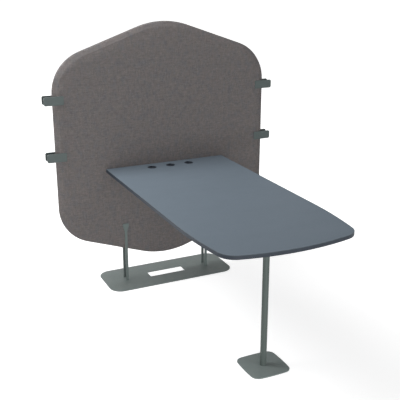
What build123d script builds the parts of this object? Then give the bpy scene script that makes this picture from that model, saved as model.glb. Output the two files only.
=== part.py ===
from build123d import *
import os
from math import atan2, cos, hypot, sin, sqrt

# Desk with a privacy screen.
# An upholstered screen with rounded corners stands on flat steel posts and a slotted floor plate.
# The long desk top butts against the front of the screen and rests on one round leg near its far end.
# All lengths are millimetres. X runs along the screen, Y from the desk's front to the back, Z up.
# The origin lies on the floor, in the middle of the space that the whole object takes up.

os.makedirs("parts", exist_ok=True)

# Desk top
desk_height = 730.0
desk_length = 1500.0
desk_width = 750.0
desk_thickness = 20.0
desk_side_curve_length = 470.0
desk_side_curve_radius = 2300.0
desk_front_curve_radius = 1170.0
desk_corner_radius = 90.0
desk_lower_chamfer = 1.6
desk_upper_round = 0.8
edge_band_thickness = 2.0
desk_screen_gap = 0.4

# Privacy screen
screen_width = 1320.0
screen_side_height = 1000.0
screen_peak_rise = 232.0
screen_lower_corner_height = 351.0
screen_peak_radius = 475.0
screen_shoulder_radius = 240.0
screen_thickness = 42.0
screen_rim_round = 19.0
core_thickness = 18.0
core_rim_inset = 14.0
core_clearance = 0.4

# Floor plates and the pads under them
plate_thickness = 4.0
floor_pad_thickness = 1.0
floor_pad_diameter = 36.0
base_width = 806.0
base_depth = 320.0
base_corner_radius = 73.0
base_slot_length = 232.0
base_slot_width = 69.0
base_slot_corner_radius = 5.0
base_edge_bevel = 0.6
base_pad_inset = 46.0
foot_size = 214.0
foot_corner_radius = 40.0
foot_side_rise = 5.0
foot_pad_inset = 44.0

# Posts that carry the screen
post_end_inset = 136.0
post_width = 16.0
post_thickness = 6.0
post_top_height = 376.0
post_head_width = 38.0
post_head_side = 12.0
post_head_taper = 38.0
post_head_corner = 5.0
post_neck_round = 10.0
post_edge_bevel = 0.6
post_upper_fixing_drop = 18.0
post_lower_fixing_rise = 35.0

# Link plates at the screen's side edges
link_length = 111.0
link_height = 49.0
link_thickness = 6.0
link_reach = 53.0
link_upper_height = 1152.0
link_lower_height = 830.0
link_outer_radius = 10.0
link_inner_radius = 3.0
link_edge_bevel = 0.6
link_fixing_inset = 30.0
link_fixing_spacing = 25.0

# Sleeves through the screen and the machine screws that pass them from the rear
sleeve_diameter = 12.0
screw_diameter = 6.0
screw_head_diameter = 12.0
screw_fit = 0.05
hole_clearance = 0.2
socket_across_flats = 4.0
socket_depth = 2.0
tapped_floor = 1.5

# Brackets between the screen and the desk top
bracket_spacing = 420.0
bracket_width = 60.0
bracket_drop = 70.0
bracket_reach = 90.0
bracket_thickness = 4.0
bracket_bend_radius = 4.0
bracket_hole_spacing = 32.0
bracket_hole_edge = 20.0
bracket_screw_length = 16.0
insert_core_depth = 12.0

# Screws into the underside of the desk top
wood_screw_diameter = 5.0
wood_screw_head_diameter = 9.0
wood_screw_length = 16.0
wood_socket_across_flats = 3.0
wood_socket_depth = 1.4

# Leg under the far end of the desk top
leg_front_inset = 285.0
leg_diameter = 32.0
leg_wall = 2.0
leg_plate_size = 110.0
leg_plate_corner_radius = 12.0
leg_plate_hole_spacing = 80.0
plug_length = 24.0
foot_screw_diameter = 8.0
foot_screw_head_diameter = 14.4
foot_screw_length = 22.0
foot_socket_across_flats = 5.0
foot_socket_depth = 2.6

# Cable outlets in the desk top
outlet_spacing = 118.0
outlet_back_inset = 75.5
outlet_hole_diameter = 46.0
outlet_flange_diameter = 52.0
outlet_flange_thickness = 1.6
outlet_flange_bevel = 0.6
outlet_sleeve_diameter = 45.6
outlet_sleeve_length = 18.0
outlet_seat_diameter = 43.0
outlet_seat_depth = 3.5
outlet_bore_diameter = 38.0
cover_fit = 0.05
cover_rest_gap = 0.1
cover_edge_bevel = 0.5
cover_skirt_wall = 1.8
cover_skirt_length = 8.0
cover_notch_width = 18.0
cover_notch_depth = 15.0
cover_notch_corner = 3.0

# One overrun makes every cut pass clear of the faces that it starts and ends on
cut_overrun = 5.0

# Places that follow from the sizes
overall_length = desk_length + desk_screen_gap + screen_thickness / 2 + base_depth / 2
desk_front_y = -overall_length / 2
desk_back_y = desk_front_y + desk_length
screen_front_y = desk_back_y + desk_screen_gap
screen_middle_y = screen_front_y + screen_thickness / 2
screen_back_y = screen_middle_y + screen_thickness / 2
leg_y = desk_front_y + leg_front_inset
outlet_y = desk_back_y - outlet_back_inset
plate_bottom_height = floor_pad_thickness
plate_top_height = plate_bottom_height + plate_thickness
desk_underside_height = desk_height - desk_thickness
leg_plate_bottom_height = desk_underside_height - plate_thickness
screen_upper_corner_height = screen_lower_corner_height + screen_side_height
link_plate_centre_x = screen_width / 2 + link_reach - link_length / 2
link_fixing_x = screen_width / 2 - link_fixing_inset
post_x_reach = base_width / 2 - post_end_inset
screen_edge_drop = screen_peak_rise * (1 - 2 * post_x_reach / screen_width)
screen_edge_over_post = screen_lower_corner_height - screen_edge_drop
post_lower_fixing_height = screen_edge_over_post + post_lower_fixing_rise
post_upper_fixing_height = post_top_height - post_upper_fixing_drop
screw_hole_radius = screw_diameter / 2 + hole_clearance
screw_head_radius = screw_head_diameter / 2 + screw_fit
tapped_radius = screw_diameter / 2 + screw_fit
outlet_top_height = desk_height + outlet_flange_thickness
outlet_seat_height = outlet_top_height - outlet_seat_depth


def save(builder, name):
    """Names a finished piece, writes it and prints its size."""
    builder.part.label = name
    export_step(builder.part, f"parts/{name}.step")
    print(f"{name}: {len(builder.part.solids())} solid(s), {builder.part.volume / 1000:.1f} cm3")


def facing_front(x, y, z):
    """A plane at a point, whose normal points to the front of the object."""
    return Plane(origin=(x, y, z), x_dir=(1, 0, 0), z_dir=(0, -1, 0))


def facing_back(x, y, z):
    """A plane at a point, whose normal points to the back of the object."""
    return Plane(origin=(x, y, z), x_dir=(-1, 0, 0), z_dir=(0, 1, 0))


def facing_down(x, y, z):
    """A plane at a point, whose normal points to the floor."""
    return Plane(origin=(x, y, z), x_dir=(1, 0, 0), z_dir=(0, 0, -1))


# Outline of the screen: a tall hexagon with a low peak at the top and at the bottom,
# drawn on a flat plane with the screen's width as X and its height as Y
half_screen = screen_width / 2
upper_peak = (0, screen_upper_corner_height + screen_peak_rise)
lower_peak = (0, screen_lower_corner_height - screen_peak_rise)
with BuildSketch() as screen_outline:
    with BuildLine():
        Polyline(
            lower_peak,
            (half_screen, screen_lower_corner_height),
            (half_screen, screen_upper_corner_height),
            upper_peak,
            (-half_screen, screen_upper_corner_height),
            (-half_screen, screen_lower_corner_height),
            close=True,
        )
    make_face()
    fillet(screen_outline.vertices().group_by(Axis.X)[1], radius=screen_peak_radius)
    corners_across = screen_outline.vertices().group_by(Axis.X)
    fillet(corners_across[0] + corners_across[-1], radius=screen_shoulder_radius)

with BuildSketch() as core_outline:
    add(screen_outline.sketch)
    offset(amount=-core_rim_inset, kind=Kind.INTERSECTION, mode=Mode.REPLACE)

with BuildSketch() as core_pocket_outline:
    add(screen_outline.sketch)
    offset(amount=core_clearance - core_rim_inset, kind=Kind.INTERSECTION, mode=Mode.REPLACE)

# Fixing places on the screen, as pairs of X and Z. The posts' lower screws keep their distance from
# the screen's sloping lower edge.
post_xs = (-post_x_reach, post_x_reach)
post_fixings = [(x, z) for x in post_xs for z in (post_lower_fixing_height, post_upper_fixing_height)]
link_heights = {"upper": link_upper_height, "lower": link_lower_height}
link_fixings = [
    (side * link_fixing_x, z + step * link_fixing_spacing / 2)
    for side in (-1, 1)
    for z in link_heights.values()
    for step in (-1, 1)
]
bracket_xs = (-bracket_spacing / 2, bracket_spacing / 2)
bracket_screen_z = desk_underside_height - bracket_drop + bracket_hole_edge
bracket_desk_y = screen_front_y - bracket_reach + bracket_hole_edge
bracket_hole_xs = [x + step * bracket_hole_spacing / 2 for x in bracket_xs for step in (-1, 1)]
bracket_fixings = [(x, bracket_screen_z) for x in bracket_hole_xs]
through_fixings = post_fixings + link_fixings

# Core board of the screen: one flat board that every fixing goes through or into
sleeve_hole_radius = sleeve_diameter / 2 + hole_clearance
core_front_y = screen_middle_y - core_thickness / 2
with BuildPart() as screen_core_board:
    with BuildSketch(facing_front(0, screen_middle_y, 0)):
        add(core_outline.sketch)
    extrude(amount=core_thickness / 2, both=True)
    with BuildSketch(facing_front(0, screen_middle_y, 0)):
        with Locations(*through_fixings):
            Circle(sleeve_hole_radius)
    extrude(amount=core_thickness, both=True, mode=Mode.SUBTRACT)
    with BuildSketch(facing_front(0, core_front_y, 0)):
        with Locations(*bracket_fixings):
            Circle(sleeve_hole_radius)
    extrude(amount=-insert_core_depth - hole_clearance, mode=Mode.SUBTRACT)
save(screen_core_board, "screen_core_board")

# Upholstered halves of the screen: foam under fabric, hollowed for the core board, with a wide round
# at the rim. The two halves meet at the seam in the middle of the screen's side.
half_thickness = screen_thickness / 2
pocket_depth = core_thickness / 2


def padding_half(plane, fixings):
    """Builds one half on a plane in the middle of the screen that faces outwards."""
    with BuildPart() as half:
        with BuildSketch(plane):
            add(screen_outline.sketch)
        extrude(amount=half_thickness)
        fillet(half.edges().group_by(Axis((0, 0, 0), plane.z_dir))[-1], radius=screen_rim_round)
        with BuildSketch(plane):
            add(core_pocket_outline.sketch)
        extrude(amount=pocket_depth, mode=Mode.SUBTRACT)
        with BuildSketch(plane):
            with Locations(*fixings):
                Circle(sleeve_hole_radius)
        extrude(amount=screen_thickness, mode=Mode.SUBTRACT)
    return half


screen_front_padding = padding_half(facing_front(0, screen_middle_y, 0), through_fixings + bracket_fixings)
save(screen_front_padding, "screen_front_padding")
screen_rear_padding = padding_half(facing_back(0, screen_middle_y, 0), [(-x, z) for x, z in through_fixings])
save(screen_rear_padding, "screen_rear_padding")

# Floor plate of the screen, cut from steel plate, with a long slot in the middle
with BuildPart() as base_plate:
    with BuildSketch(Plane.XY.offset(plate_bottom_height)):
        with Locations((0, screen_middle_y)):
            RectangleRounded(base_width, base_depth, base_corner_radius)
            RectangleRounded(base_slot_length, base_slot_width, base_slot_corner_radius, mode=Mode.SUBTRACT)
    extrude(amount=plate_thickness)
    chamfer(base_plate.faces().sort_by(Axis.Z)[-1].outer_wire().edges(), length=base_edge_bevel)
save(base_plate, "base_plate")

# Thin plastic discs under the floor plate
with BuildPart() as base_floor_pads:
    with BuildSketch():
        with Locations((0, screen_middle_y)):
            with GridLocations(base_width / 2 - base_pad_inset, base_depth - 2 * base_pad_inset, 3, 2):
                Circle(floor_pad_diameter / 2)
    extrude(amount=floor_pad_thickness)
save(base_floor_pads, "base_floor_pads")

# Posts: flat steel bars that stand on the floor plate, two in front of the screen and two behind,
# each with a wider head at its top that spreads the pull of the upper screw. The screws pass the
# rear posts and the screen and end in tapped blind holes, so that the front posts stay plain.
half_post = post_width / 2
half_head = post_head_width / 2
head_shoulder_height = post_top_height - post_head_side
neck_height = head_shoulder_height - post_head_taper
with BuildSketch() as post_outline:
    with BuildLine():
        Polyline(
            (-half_post, plate_top_height),
            (half_post, plate_top_height),
            (half_post, neck_height),
            (half_head, head_shoulder_height),
            (half_head, post_top_height),
            (-half_head, post_top_height),
            (-half_head, head_shoulder_height),
            (-half_post, neck_height),
            close=True,
        )
    make_face()
    levels = post_outline.vertices().group_by(Axis.Y)
    fillet(levels[1], radius=post_neck_round)
    fillet(post_outline.vertices().group_by(Axis.Y)[-1], radius=post_head_corner)


def plate_piece(outline, plane, thickness, bevel, foot_height):
    """Builds a flat piece with its outer face on a plane, and bevels that face's edges above a height."""
    with BuildPart() as piece:
        with BuildSketch(plane):
            add(outline)
        extrude(amount=-thickness)
        outer = piece.faces().sort_by(Axis((0, 0, 0), plane.z_dir))[-1]
        chamfer(outer.edges().filter_by(lambda edge: edge.center().Z > foot_height), length=bevel)
    return piece


def tap_from_screen(piece, places, thickness):
    """Makes blind tapped holes in the inner face of a piece in front of the screen."""
    with BuildPart() as tapped:
        add(piece.part)
        with BuildSketch(facing_front(0, screen_front_y, 0)):
            with Locations(*places):
                Circle(tapped_radius)
        extrude(amount=thickness - tapped_floor, mode=Mode.SUBTRACT)
    return tapped


def countersink_from_rear(piece, places, thickness):
    """Makes countersunk holes in the outer face of a piece behind the screen."""
    with BuildPart() as countersunk:
        add(piece.part)
        with Locations(*[facing_back(x, screen_back_y + thickness, z) for x, z in places]):
            CounterSinkHole(screw_hole_radius, screw_head_radius, counter_sink_angle=90)
    return countersunk


post_foot_height = plate_top_height + post_width
for side_name, post_x in zip(("left", "right"), post_xs):
    holes = [place for place in post_fixings if place[0] == post_x]
    front_plane = facing_front(post_x, screen_front_y - post_thickness, 0)
    rear_plane = facing_back(post_x, screen_back_y + post_thickness, 0)
    outline = post_outline.sketch
    front_bar = plate_piece(outline, front_plane, post_thickness, post_edge_bevel, post_foot_height)
    rear_bar = plate_piece(outline, rear_plane, post_thickness, post_edge_bevel, post_foot_height)
    save(tap_from_screen(front_bar, holes, post_thickness), f"front_{side_name}_post")
    save(countersink_from_rear(rear_bar, holes, post_thickness), f"rear_{side_name}_post")

# Link plates: flat plates in front of and behind the screen's side edges, held like the posts.
# They reach past the edge in pairs, so that the edge of a neighbouring screen fits between them.
with BuildSketch() as link_outline:
    Rectangle(link_length, link_height)
    fillet(link_outline.vertices().group_by(Axis.X)[-1], radius=link_outer_radius)
    fillet(link_outline.vertices().group_by(Axis.X)[0], radius=link_inner_radius)

with BuildSketch() as mirrored_link_outline:
    add(link_outline.sketch)
    mirror(about=Plane.YZ, mode=Mode.REPLACE)

outlines = {1: link_outline.sketch, -1: mirrored_link_outline.sketch}
for level_name, link_z in link_heights.items():
    for side_name, side in (("left", -1), ("right", 1)):
        holes = [(side * link_fixing_x, link_z + step * link_fixing_spacing / 2) for step in (-1, 1)]
        link_x = side * link_plate_centre_x
        plate_name = f"{level_name}_{side_name}"
        front_plane = facing_front(link_x, screen_front_y - link_thickness, link_z)
        rear_plane = facing_back(link_x, screen_back_y + link_thickness, link_z)
        front_plate = plate_piece(outlines[side], front_plane, link_thickness, link_edge_bevel, 0)
        rear_plate = plate_piece(outlines[-side], rear_plane, link_thickness, link_edge_bevel, 0)
        save(tap_from_screen(front_plate, holes, link_thickness), f"{plate_name}_front_link_plate")
        save(countersink_from_rear(rear_plate, holes, link_thickness), f"{plate_name}_rear_link_plate")

# Sleeves: steel tubes as long as the screen is thick, which keep the screws from crushing the foam.
# The inserts for the desk brackets are shorter and tapped, and end inside the core board.


def sleeves(places, length, bore_radius):
    """Builds sleeves that run back from the screen's front face at the given X and Z."""
    with BuildPart() as tubes:
        with BuildSketch(facing_front(0, screen_front_y, 0)):
            with Locations(*places):
                Circle(sleeve_diameter / 2)
                Circle(bore_radius, mode=Mode.SUBTRACT)
        extrude(amount=-length)
    return tubes


save(sleeves(post_fixings, screen_thickness, screw_hole_radius), "post_sleeves")
save(sleeves(link_fixings, screen_thickness, screw_hole_radius), "link_sleeves")
insert_length = half_thickness - pocket_depth + insert_core_depth
save(sleeves(bracket_fixings, insert_length, tapped_radius), "bracket_inserts")


def countersunk_screw(diameter, head_diameter, length, across_flats, depth):
    """Builds a screw that points down, with the top of its flat head on the floor plane."""
    head_radius = head_diameter / 2
    shank_radius = diameter / 2
    cone_height = head_radius - shank_radius
    with BuildPart() as screw:
        with BuildSketch(Plane.XZ):
            with BuildLine():
                Polyline(
                    (0, 0),
                    (head_radius, 0),
                    (shank_radius, -cone_height),
                    (shank_radius, -length),
                    (0, -length),
                    close=True,
                )
            make_face()
        revolve(axis=Axis.Z)
        with BuildSketch():
            RegularPolygon(across_flats / 2, 6, major_radius=False)
        extrude(amount=-depth, mode=Mode.SUBTRACT)
    return screw


def screw_group(screw, planes):
    """Places copies of a screw with their heads on the given planes."""
    with BuildPart() as group:
        with Locations(*planes):
            add(screw.part)
    return group


def machine_screw(length):
    """Builds a machine screw of the given length."""
    return countersunk_screw(screw_diameter, screw_head_diameter, length, socket_across_flats, socket_depth)


def through_screws(places, thickness):
    """Builds screws that run from a rear piece through the screen into the piece in front of it."""
    length = screen_thickness + 2 * thickness - tapped_floor - hole_clearance
    head_planes = [facing_back(x, screen_back_y + thickness, z) for x, z in places]
    return screw_group(machine_screw(length), head_planes)


save(through_screws(post_fixings, post_thickness), "post_screws")
save(through_screws(link_fixings, link_thickness), "link_screws")

# Outline of the desk top: straight sides that curve in towards a bowed front edge with round corners
side_curve_start_y = desk_front_y + desk_side_curve_length
side_centre_x = desk_width / 2 - desk_side_curve_radius
front_centre_y = desk_front_y + desk_front_curve_radius


def curve_meeting(side_radius, front_radius):
    """Finds where the right side's curve and the front curve meet, before the corner is rounded."""
    across = -side_centre_x
    along = front_centre_y - side_curve_start_y
    distance = hypot(across, along)
    reach = (side_radius**2 - front_radius**2 + distance**2) / (2 * distance)
    offset_length = sqrt(side_radius**2 - reach**2)
    x = side_centre_x + (reach * across + offset_length * along) / distance
    y = side_curve_start_y + (reach * along - offset_length * across) / distance
    return x, y


def desk_shape(inset):
    """Draws the desk top's outline, moved inwards by a distance."""
    side_x = desk_width / 2 - inset
    back_y = desk_back_y - inset
    side_radius = desk_side_curve_radius - inset
    meeting_x, meeting_y = curve_meeting(side_radius, desk_front_curve_radius - inset)
    half_turn = atan2(meeting_y - side_curve_start_y, meeting_x - side_centre_x) / 2
    middle_x = side_centre_x + side_radius * cos(half_turn)
    middle_y = side_curve_start_y + side_radius * sin(half_turn)
    with BuildSketch() as shape:
        with BuildLine():
            Polyline(
                (side_x, side_curve_start_y),
                (side_x, back_y),
                (-side_x, back_y),
                (-side_x, side_curve_start_y),
            )
            ThreePointArc((-side_x, side_curve_start_y), (-middle_x, middle_y), (-meeting_x, meeting_y))
            ThreePointArc((-meeting_x, meeting_y), (0, desk_front_y + inset), (meeting_x, meeting_y))
            ThreePointArc((meeting_x, meeting_y), (middle_x, middle_y), (side_x, side_curve_start_y))
        make_face()
        fillet(shape.vertices().group_by(Axis.Y)[0], radius=desk_corner_radius - inset)
    return shape.sketch


desk_outline = desk_shape(0)
board_outline = desk_shape(edge_band_thickness)

# Places of the cable outlets and of the wood screws under the desk top
outlet_xs = {"left": -outlet_spacing, "middle": 0, "right": outlet_spacing}
half_spacing = leg_plate_hole_spacing / 2
leg_plate_holes = [(sx * half_spacing, leg_y + sy * half_spacing) for sx in (-1, 1) for sy in (-1, 1)]
bracket_desk_holes = [(x, bracket_desk_y) for x in bracket_hole_xs]
pilot_radius = wood_screw_diameter / 2 + screw_fit
pilot_depth = wood_screw_length - plate_thickness + hole_clearance

# Desk top board with its round outlet holes and pilot holes
with BuildPart() as desk_top:
    with BuildSketch(Plane.XY.offset(desk_underside_height)):
        add(board_outline)
        with Locations(*[(x, outlet_y) for x in outlet_xs.values()]):
            Circle(outlet_hole_diameter / 2, mode=Mode.SUBTRACT)
    extrude(amount=desk_thickness)
    with BuildSketch(Plane.XY.offset(desk_underside_height)):
        with Locations(*leg_plate_holes, *bracket_desk_holes):
            Circle(pilot_radius)
    extrude(amount=pilot_depth, mode=Mode.SUBTRACT)
save(desk_top, "desk_top")

# Edge band glued round the board, rounded above and bevelled below
with BuildPart() as desk_edge_band:
    with BuildSketch(Plane.XY.offset(desk_underside_height)):
        add(desk_outline)
        add(board_outline, mode=Mode.SUBTRACT)
    extrude(amount=desk_thickness)
    fillet(desk_edge_band.faces().sort_by(Axis.Z)[-1].outer_wire().edges(), radius=desk_upper_round)
    chamfer(desk_edge_band.faces().sort_by(Axis.Z)[0].outer_wire().edges(), length=desk_lower_chamfer)
save(desk_edge_band, "desk_edge_band")

# Cable outlets: a flanged liner pushed into each hole, and a cover that turns in its seat.
# The cover has a notch for cables at its rim and a split skirt that centres it in the liner's bore.


def outlet_liner(x):
    """Builds the flanged liner of the outlet at the given X."""
    flange = outlet_flange_diameter / 2
    sleeve = outlet_sleeve_diameter / 2
    seat = outlet_seat_diameter / 2
    bore = outlet_bore_diameter / 2
    with BuildPart() as liner:
        with BuildSketch(Plane(origin=(x, outlet_y, 0), x_dir=(1, 0, 0), z_dir=(0, -1, 0))) as profile:
            with BuildLine():
                Polyline(
                    (bore, desk_height - outlet_sleeve_length),
                    (sleeve, desk_height - outlet_sleeve_length),
                    (sleeve, desk_height),
                    (flange, desk_height),
                    (flange, outlet_top_height),
                    (seat, outlet_top_height),
                    (seat, outlet_seat_height),
                    (bore, outlet_seat_height),
                    close=True,
                )
            make_face()
            rim = profile.vertices().sort_by(Axis.X)[-2:].sort_by(Axis.Y)[-1]
            chamfer(rim, length=outlet_flange_bevel)
        revolve(axis=Axis((x, outlet_y, 0), (0, 0, 1)))
    return liner


def outlet_cover(x):
    """Builds the turning cover of the outlet at the given X."""
    disc = outlet_seat_diameter / 2 - cover_fit
    skirt = outlet_bore_diameter / 2 - cover_fit
    inner = skirt - cover_skirt_wall
    bottom = outlet_seat_height + cover_rest_gap
    notch_y = outlet_y + outlet_seat_diameter / 2 - cover_notch_depth
    with BuildPart() as cover:
        with BuildSketch(Plane(origin=(x, outlet_y, 0), x_dir=(1, 0, 0), z_dir=(0, -1, 0))) as profile:
            with BuildLine():
                Polyline(
                    (0, bottom),
                    (inner, bottom),
                    (inner, bottom - cover_skirt_length),
                    (skirt, bottom - cover_skirt_length),
                    (skirt, bottom),
                    (disc, bottom),
                    (disc, outlet_top_height),
                    (0, outlet_top_height),
                    close=True,
                )
            make_face()
            rim = profile.vertices().group_by(Axis.Y)[-1].sort_by(Axis.X)[-1]
            chamfer(rim, length=cover_edge_bevel)
        revolve(axis=Axis((x, outlet_y, 0), (0, 0, 1)))
        with BuildSketch(Plane.XY.offset(outlet_top_height + cut_overrun)) as notch:
            with Locations((x, notch_y)):
                Rectangle(cover_notch_width, outlet_seat_diameter, align=(Align.CENTER, Align.MIN))
            fillet(notch.vertices().group_by(Axis.Y)[0], radius=cover_notch_corner)
        extrude(amount=-outlet_seat_depth - cover_skirt_length - 2 * cut_overrun, mode=Mode.SUBTRACT)
    return cover


for outlet_name, outlet_x in outlet_xs.items():
    save(outlet_liner(outlet_x), f"{outlet_name}_outlet_liner")
    save(outlet_cover(outlet_x), f"{outlet_name}_outlet_cover")

# Brackets: bent steel angles under the back of the desk top, screwed to the screen and to the board


def desk_bracket(x):
    """Builds the angle bracket at the given X."""
    back = screen_front_y
    top = desk_underside_height
    with BuildPart() as bracket:
        with BuildSketch(Plane.YZ.offset(x)) as profile:
            with BuildLine():
                Polyline(
                    (back, top),
                    (back, top - bracket_drop),
                    (back - bracket_thickness, top - bracket_drop),
                    (back - bracket_thickness, top - bracket_thickness),
                    (back - bracket_reach, top - bracket_thickness),
                    (back - bracket_reach, top),
                    close=True,
                )
            make_face()
            bend = profile.vertices().filter_by(
                lambda v: abs(v.X - back) < 2 * bracket_thickness and abs(v.Y - top) < 2 * bracket_thickness
            )
            fillet(bend.sort_by(Axis.X)[0], radius=bracket_bend_radius)
        extrude(amount=bracket_width / 2, both=True)
        corner_edges = bracket.edges().filter_by(Axis.Z).group_by(Axis.Y)[0]
        fillet(corner_edges, radius=bracket_bend_radius)
        with Locations(*[facing_front(hx, back - bracket_thickness, hz) for hx, hz in bracket_fixings]):
            CounterSinkHole(
                screw_hole_radius,
                screw_head_radius,
                depth=2 * bracket_thickness,
                counter_sink_angle=90,
            )
        with Locations(*[facing_down(hx, hy, top - bracket_thickness) for hx, hy in bracket_desk_holes]):
            CounterSinkHole(
                pilot_radius + hole_clearance,
                wood_screw_head_diameter / 2 + screw_fit,
                depth=2 * bracket_thickness,
                counter_sink_angle=90,
            )
    return bracket


for side_name, bracket_x in zip(("left", "right"), bracket_xs):
    save(desk_bracket(bracket_x), f"{side_name}_desk_bracket")

bracket_screw_planes = [facing_front(x, screen_front_y - bracket_thickness, z) for x, z in bracket_fixings]
save(screw_group(machine_screw(bracket_screw_length), bracket_screw_planes), "bracket_screws")

# Wood screws: four through the leg's top plate and four through the brackets
wood_screw = countersunk_screw(
    wood_screw_diameter,
    wood_screw_head_diameter,
    wood_screw_length,
    wood_socket_across_flats,
    wood_socket_depth,
)
wood_screw_places = leg_plate_holes + bracket_desk_holes
wood_screw_planes = [facing_down(x, y, leg_plate_bottom_height) for x, y in wood_screw_places]
save(screw_group(wood_screw, wood_screw_planes), "desk_screws")

# Leg: a round steel tube welded to a square top plate, with a threaded plug in its lower end
with BuildPart() as leg_top_plate:
    with BuildSketch(Plane.XY.offset(leg_plate_bottom_height)):
        with Locations((0, leg_y)):
            RectangleRounded(leg_plate_size, leg_plate_size, leg_plate_corner_radius)
    extrude(amount=plate_thickness)
    with Locations(*[facing_down(x, y, leg_plate_bottom_height) for x, y in leg_plate_holes]):
        CounterSinkHole(
            pilot_radius + hole_clearance,
            wood_screw_head_diameter / 2 + screw_fit,
            depth=2 * plate_thickness,
            counter_sink_angle=90,
        )
save(leg_top_plate, "leg_top_plate")

leg_radius = leg_diameter / 2
leg_bore_radius = leg_radius - leg_wall
with BuildPart() as leg_tube:
    with BuildSketch(Plane.XY.offset(plate_top_height)):
        with Locations((0, leg_y)):
            Circle(leg_radius)
            Circle(leg_bore_radius, mode=Mode.SUBTRACT)
    extrude(amount=leg_plate_bottom_height - plate_top_height)
save(leg_tube, "leg_tube")

with BuildPart() as leg_plug:
    with BuildSketch(Plane.XY.offset(plate_top_height)):
        with Locations((0, leg_y)):
            Circle(leg_bore_radius - screw_fit)
            Circle(foot_screw_diameter / 2 + screw_fit, mode=Mode.SUBTRACT)
    extrude(amount=plug_length)
save(leg_plug, "leg_plug")

# Foot plate: a square with slightly bowed sides and large round corners, held by one screw from below
foot_corner = foot_size / 2 - foot_side_rise
foot_reach = foot_size / 2
with BuildSketch() as foot_outline:
    with BuildLine():
        ThreePointArc((foot_corner, -foot_corner), (foot_reach, 0), (foot_corner, foot_corner))
        ThreePointArc((foot_corner, foot_corner), (0, foot_reach), (-foot_corner, foot_corner))
        ThreePointArc((-foot_corner, foot_corner), (-foot_reach, 0), (-foot_corner, -foot_corner))
        ThreePointArc((-foot_corner, -foot_corner), (0, -foot_reach), (foot_corner, -foot_corner))
    make_face()
    fillet(foot_outline.vertices(), radius=foot_corner_radius)

with BuildPart() as foot_plate:
    with BuildSketch(Plane.XY.offset(plate_bottom_height)):
        with Locations((0, leg_y)):
            add(foot_outline.sketch)
    extrude(amount=plate_thickness)
    chamfer(foot_plate.edges().group_by(Axis.Z)[-1], length=base_edge_bevel)
    with Locations(facing_down(0, leg_y, plate_bottom_height)):
        CounterSinkHole(
            foot_screw_diameter / 2 + hole_clearance,
            foot_screw_head_diameter / 2 + screw_fit,
            depth=2 * plate_thickness,
            counter_sink_angle=90,
        )
save(foot_plate, "foot_plate")

with BuildPart() as foot_floor_pads:
    with BuildSketch():
        with Locations((0, leg_y)):
            with GridLocations(foot_size - 2 * foot_pad_inset, foot_size - 2 * foot_pad_inset, 2, 2):
                Circle(floor_pad_diameter / 2)
    extrude(amount=floor_pad_thickness)
save(foot_floor_pads, "foot_floor_pads")

foot_screw_form = countersunk_screw(
    foot_screw_diameter,
    foot_screw_head_diameter,
    foot_screw_length,
    foot_socket_across_flats,
    foot_socket_depth,
)
save(screw_group(foot_screw_form, [facing_down(0, leg_y, plate_bottom_height)]), "foot_screw")
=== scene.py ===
import math

import bmesh
import bpy
import numpy as np
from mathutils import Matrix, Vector


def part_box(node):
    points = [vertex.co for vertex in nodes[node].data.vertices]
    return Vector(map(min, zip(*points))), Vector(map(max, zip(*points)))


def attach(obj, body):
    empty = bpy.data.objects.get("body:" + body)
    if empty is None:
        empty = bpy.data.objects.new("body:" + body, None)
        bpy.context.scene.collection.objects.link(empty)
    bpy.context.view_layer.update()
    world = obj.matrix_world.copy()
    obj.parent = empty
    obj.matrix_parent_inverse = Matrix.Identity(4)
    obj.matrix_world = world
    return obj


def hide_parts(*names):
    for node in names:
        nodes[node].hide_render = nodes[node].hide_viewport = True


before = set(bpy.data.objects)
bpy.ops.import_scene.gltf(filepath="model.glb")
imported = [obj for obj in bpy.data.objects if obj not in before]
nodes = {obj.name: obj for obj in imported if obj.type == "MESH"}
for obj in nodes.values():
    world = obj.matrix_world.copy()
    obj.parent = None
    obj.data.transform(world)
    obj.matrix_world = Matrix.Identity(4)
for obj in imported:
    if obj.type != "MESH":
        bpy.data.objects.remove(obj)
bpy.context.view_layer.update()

# Floor plate of the screen: 4 mm steel with a long slot and a bevelled upper edge, powder coated in a
# matt green-grey. It lies on the floor, so its coat carries a little dust and a few rub marks.
coat_grey_green = (107, 116, 114)
coat_rub_grey = (150, 158, 156)
dust_grey = (150, 150, 146)
coat_gloss = 0.25
coat_roughness = (0.46, 0.56)
coat_cloud_strength = 0.07
dust_dullness = 0.3
rub_polish = 0.15
coat_relief = 0.00006
coat_edge_round = 0.0004
flat_turn = 0.99
edge_turn = 0.80
rub_patch_span = (0.42, 0.62)
facing_up_span = (0.7, 0.98)
dust_drift_span = (0.40, 0.70)
noise_span = (0.3, 0.7)
either_way = (-0.5, 0.5)


def shade(red, green, blue):
    """Turns a colour as read on a screen, from 0 to 255, into the values that a shader takes."""
    shares = [value / 255 for value in (red, green, blue)]
    light = [s / 12.92 if s <= 0.04045 else ((s + 0.055) / 1.055) ** 2.4 for s in shares]
    return (*light, 1.0)


def fill(tree, node, inputs):
    """Sets or wires the inputs of a node."""
    for key, value in inputs.items():
        if isinstance(value, bpy.types.NodeSocket):
            tree.links.new(value, node.inputs[key])
        else:
            node.inputs[key].default_value = value
    return node


def put(tree, kind, inputs=None, **settings):
    """Adds a node, sets it and fills its inputs."""
    node = tree.nodes.new(kind)
    for key, value in settings.items():
        setattr(node, key, value)
    return fill(tree, node, inputs or {})


def maths(tree, operation, first, second=0.0, clamp=False):
    """Adds one step of arithmetic and returns its result."""
    node = put(tree, "ShaderNodeMath", {0: first, 1: second}, operation=operation, use_clamp=clamp)
    return node.outputs[0]


def own_place(tree):
    """Returns the place of each point of the surface, in metres."""
    return put(tree, "ShaderNodeTexCoord").outputs["Object"]


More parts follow.
